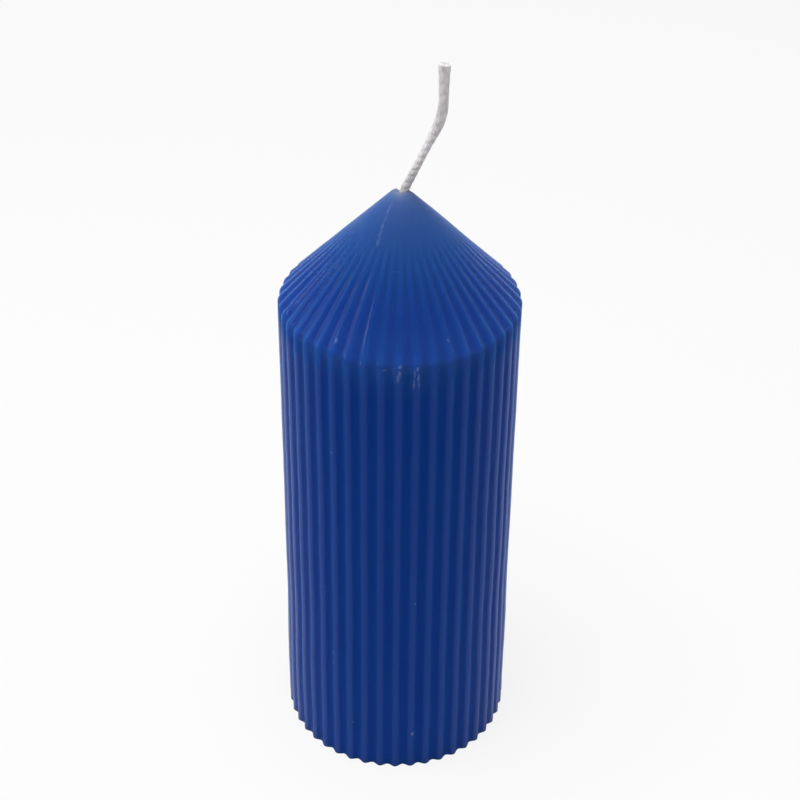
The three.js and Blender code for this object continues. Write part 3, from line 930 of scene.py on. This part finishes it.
def cotton_material():
    material, tree = new_material("waxed_cotton")
    position = add(tree, "ShaderNodeTexCoord").outputs["Object"]
    height = add(tree, "ShaderNodeSeparateXYZ", {"Vector": position}).outputs["Z"]
    fibres = noise(tree, stretched(tree, position, 1, 1, FIBRE_STRETCH), FIBRE_SCALE, *FIBRE_DETAIL)
    patches = noise(tree, position, PATCH_SCALE)
    soaked = ramp_between(tree, height, tip_height + SOAKED_HEIGHT, tip_height)
    colour = mix_colour(tree, soaked, COTTON, COTTON_SOAKED)
    darker = ramp_between(tree, patches, *COTTON_PATCH_EDGES, 0.0, COTTON_PATCH_SHARE)
    colour = mix_colour(tree, darker, colour, COTTON_SOAKED)
    bump = add(tree, "ShaderNodeBump", {"Height": fibres, "Strength": 0.15, "Distance": 0.03 * MM})
    shader = add(
        tree,
        "ShaderNodeBsdfPrincipled",
        {
            "Base Color": colour,
            "Roughness": ramp_between(tree, fibres, *NOISE_MIDDLE, *COTTON_ROUGHNESS),
            "Normal": bump.outputs["Normal"],
            "Specular IOR Level": 0.3,
            "Subsurface Weight": 0.4,
            "Subsurface Radius": (1.0, 0.9, 0.8),
            "Subsurface Scale": 0.35 * MM,
            "Sheen Weight": 0.05,
        },
    )
    add(tree, "ShaderNodeOutputMaterial", {"Surface": shader.outputs[0]})
    return material


STEEL_LIGHT = srgb(200, 202, 204)
STEEL_DARK = srgb(168, 171, 176)
STEEL_ROUGHNESS = (0.22, 0.4)
SPANGLE_SCALE = 900  # of the grains in the tin
SPANGLE_CONTRAST = 0.4
SCRATCH_SCALE = 5200
SCRATCH_STRETCH = 0.03
SCRATCH_DETAIL = (3, 0.6)


def steel_material():
    material, tree = new_material("tinned_steel")
    position = add(tree, "ShaderNodeTexCoord").outputs["Object"]
    spangle = add(tree, "ShaderNodeTexVoronoi", {"Vector": position, "Scale": SPANGLE_SCALE}).outputs["Color"]
    scratch = noise(tree, stretched(tree, position, 1, SCRATCH_STRETCH, 1), SCRATCH_SCALE, *SCRATCH_DETAIL)
    tone = add(tree, "ShaderNodeSeparateColor", {"Color": spangle}).outputs[0]
    colour = mix_colour(tree, maths(tree, "MULTIPLY", tone, SPANGLE_CONTRAST), STEEL_LIGHT, STEEL_DARK)
    bump = add(tree, "ShaderNodeBump", {"Height": scratch, "Strength": 0.2, "Distance": 0.02 * MM})
    shader = add(
        tree,
        "ShaderNodeBsdfPrincipled",
        {
            "Base Color": colour,
            "Metallic": 1.0,
            "Roughness": ramp_between(tree, scratch, *NOISE_MIDDLE, *STEEL_ROUGHNESS),
            "Normal": bump.outputs["Normal"],
        },
    )
    add(tree, "ShaderNodeOutputMaterial", {"Surface": shader.outputs[0]})
    return material


# Stage: floor, world, lamps and camera

FLOOR_HALF_SIZE = 20.0
FLOOR_COLOUR = (0.8, 0.8, 0.8, 1)
FLOOR_GLOW = 0.82  # share of plain white where the floor is seen, the rest of it takes the shadow
WORLD_LIGHT = 0.4  # its strength on the candle, and 1 where it is seen

# Each lamp's place, size in metres and power in watts
LAMP_TARGET = (0, 0, 0.09)
LAMPS = {
    "overhead_softbox": ((-0.15, -0.1, 1.0), 0.7, 8),
    "left_window": ((-0.85, 0.0, 0.62), 0.2, 0.45),
    "right_fill": ((0.8, 0.2, 0.5), 0.5, 0.2),
}

# Camera, by a fit to the candle's outline and rib ends in the photograph
CAMERA_PLACE = (0.28 * MM, -323.8 * MM, 329.73 * MM)
CAMERA_LOOK_DOWN = math.radians(35.376)
CAMERA_ROLL = math.radians(0.619)
CAMERA_SENSOR = 36
CAMERA_LENS = 71.96


def seen_directly(tree):
    """1 for rays that show the background as it is: from the camera, and mirrored or refracted."""
    rays = add(tree, "ShaderNodeLightPath").outputs
    mirrored = maths(tree, "MAXIMUM", rays["Is Glossy Ray"], rays["Is Transmission Ray"])
    return maths(tree, "MAXIMUM", rays["Is Camera Ray"], mirrored)


def build_floor():
    half = FLOOR_HALF_SIZE
    corners = [(-half, -half, 0), (half, -half, 0), (half, half, 0), (-half, half, 0)]
    floor = new_mesh("floor", corners, [(0, 1, 2, 3)])
    material, tree = new_material("pale_floor")
    matt = add(tree, "ShaderNodeBsdfDiffuse", {"Color": FLOOR_COLOUR})
    glow = add(tree, "ShaderNodeEmission", {"Color": WHITE, "Strength": 1.0})
    share = maths(tree, "MULTIPLY", seen_directly(tree), FLOOR_GLOW)
    both = add(tree, "ShaderNodeMixShader", {0: share, 1: matt.outputs[0], 2: glow.outputs[0]})
    add(tree, "ShaderNodeOutputMaterial", {"Surface": both.outputs[0]})
    floor.data.materials.append(material)


def build_world():
    world = bpy.data.worlds.new("studio")
    bpy.context.scene.world = world
    world.use_nodes = True
    tree = world.node_tree
    tree.nodes.clear()
    strength = maths(tree, "MULTIPLY_ADD", seen_directly(tree), 1 - WORLD_LIGHT, WORLD_LIGHT)
    sky = add(tree, "ShaderNodeBackground", {"Color": WHITE, "Strength": strength})
    add(tree, "ShaderNodeOutputWorld", {"Surface": sky.outputs[0]})


def build_lamp(name, place, size, power):
    """A round white lamp that points at the candle."""
    data = bpy.data.lights.new(name, "AREA")
    data.shape = "DISK"
    data.size = size
    data.energy = power
    lamp = bpy.data.objects.new(name, data)
    lamp.location = place
    lamp.rotation_euler = (Vector(LAMP_TARGET) - Vector(place)).to_track_quat("-Z", "Y").to_euler()
    bpy.context.scene.collection.objects.link(lamp)


def build_camera():
    """Stands where the photograph was taken from."""
    data = bpy.data.cameras.new("camera")
    data.sensor_width = CAMERA_SENSOR
    data.lens = CAMERA_LENS
    camera = bpy.data.objects.new("camera", data)
    tilt = Matrix.Rotation(math.pi / 2 - CAMERA_LOOK_DOWN, 4, "X") @ Matrix.Rotation(CAMERA_ROLL, 4, "Z")
    camera.matrix_world = Matrix.Translation(CAMERA_PLACE) @ tilt
    bpy.context.scene.collection.objects.link(camera)
    bpy.context.scene.camera = camera


def build_stage():
    build_floor()
    build_world()
    for name, (place, size, power) in LAMPS.items():
        build_lamp(name, place, size, power)
    build_camera()
    bpy.context.scene.view_settings.view_transform = "Standard"


def dress(piece, node, material):
    """Puts a finished piece in the place of the model's own part."""
    piece.data.materials.append(material)
    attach(piece, "root")
    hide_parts(node)


def main():
    build_stage()
    dress(build_wax(), "wax_body", wax_material())
    dress(build_wick(), "wick", cotton_material())
    dress(build_tab(), "wick_tab", steel_material())


main()
